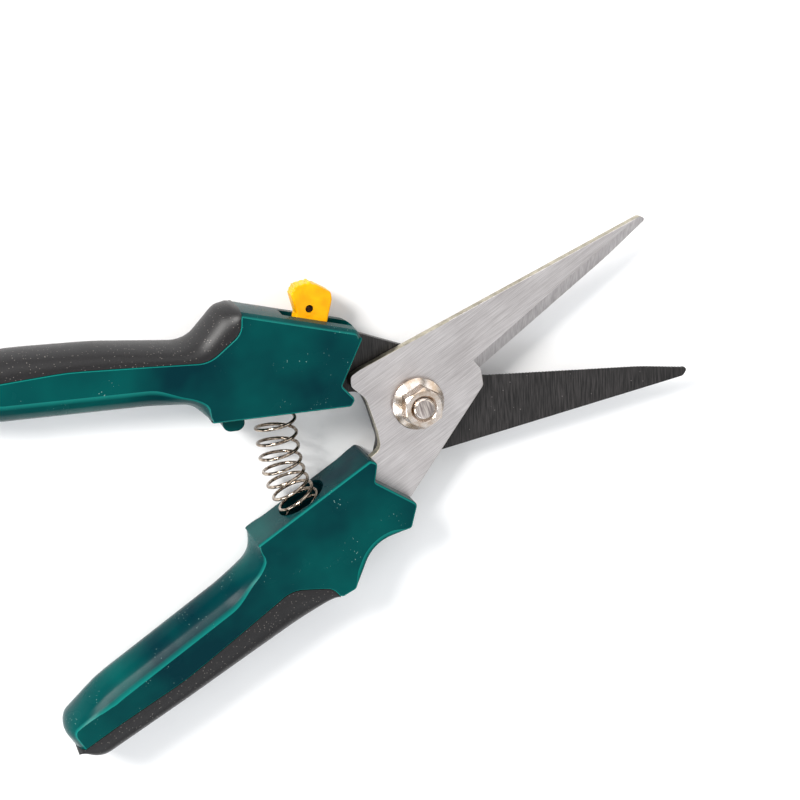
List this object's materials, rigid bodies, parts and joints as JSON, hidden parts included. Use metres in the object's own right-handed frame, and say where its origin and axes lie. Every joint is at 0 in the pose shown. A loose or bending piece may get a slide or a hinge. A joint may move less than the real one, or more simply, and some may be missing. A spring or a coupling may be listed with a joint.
{
  "type": "floral snips",
  "caption": "Straight-bladed floral snips with moulded two-tone handles, a coil return spring, a sliding thumb lock and a flange-nut pivot, shown sprung open.",
  "frame": {"origin": "centre of the pivot bolt's head, on its flat outer face, which lies in one plane with the undersides of both handles", "axes": "+X from the pivot towards the blade tips, +Z along the pivot bolt towards the nut, +Y towards the handle that carries the lock"},
  "size_m": [0.1924, 0.1147, 0.0177],
  "materials": {
    "teal_nylon": "gloss moulded",
    "black_rubber": "satin moulded",
    "black_coated_steel": "low-friction black coating",
    "brushed_steel": "brushed along the blade",
    "nickel_plate": "bright nickel plate",
    "spring_steel": "plain rolled",
    "yellow_acetal": "gloss moulded"
  },
  "bodies": {
    "upper_half": {"upper_body": "teal_nylon", "upper_grip": "black_rubber", "black_blade": "black_coated_steel", "pivot_bolt": "nickel_plate", "pivot_washer": "nickel_plate", "flange_nut": "nickel_plate", "return_spring": "nickel_plate", "lock_leaf_spring": "spring_steel"},
    "lower_half": {"lower_body": "teal_nylon", "lower_grip": "black_rubber", "bright_blade": "brushed_steel"},
    "lock": {"lock_button": "yellow_acetal", "lock_bar": "spring_steel", "lock_pin": "spring_steel"}
  },
  "joints": [
    {"name": "blade_pivot", "type": "hinge", "parent": "upper_half", "child": "lower_half", "pos_m": [0, 0, 0.0083], "axis": [0, 0, 1], "range_deg": [-31.5, 0], "stiffness_Nm_per_rad": 1.6, "springref_deg": 20.05, "deforming": ["return_spring"]},
    {"name": "lock_slide", "type": "slide", "parent": "upper_half", "child": "lock", "axis": [0.8594, -0.5113, 0], "range_m": [-0.0035, 0.0065]}
  ]
}
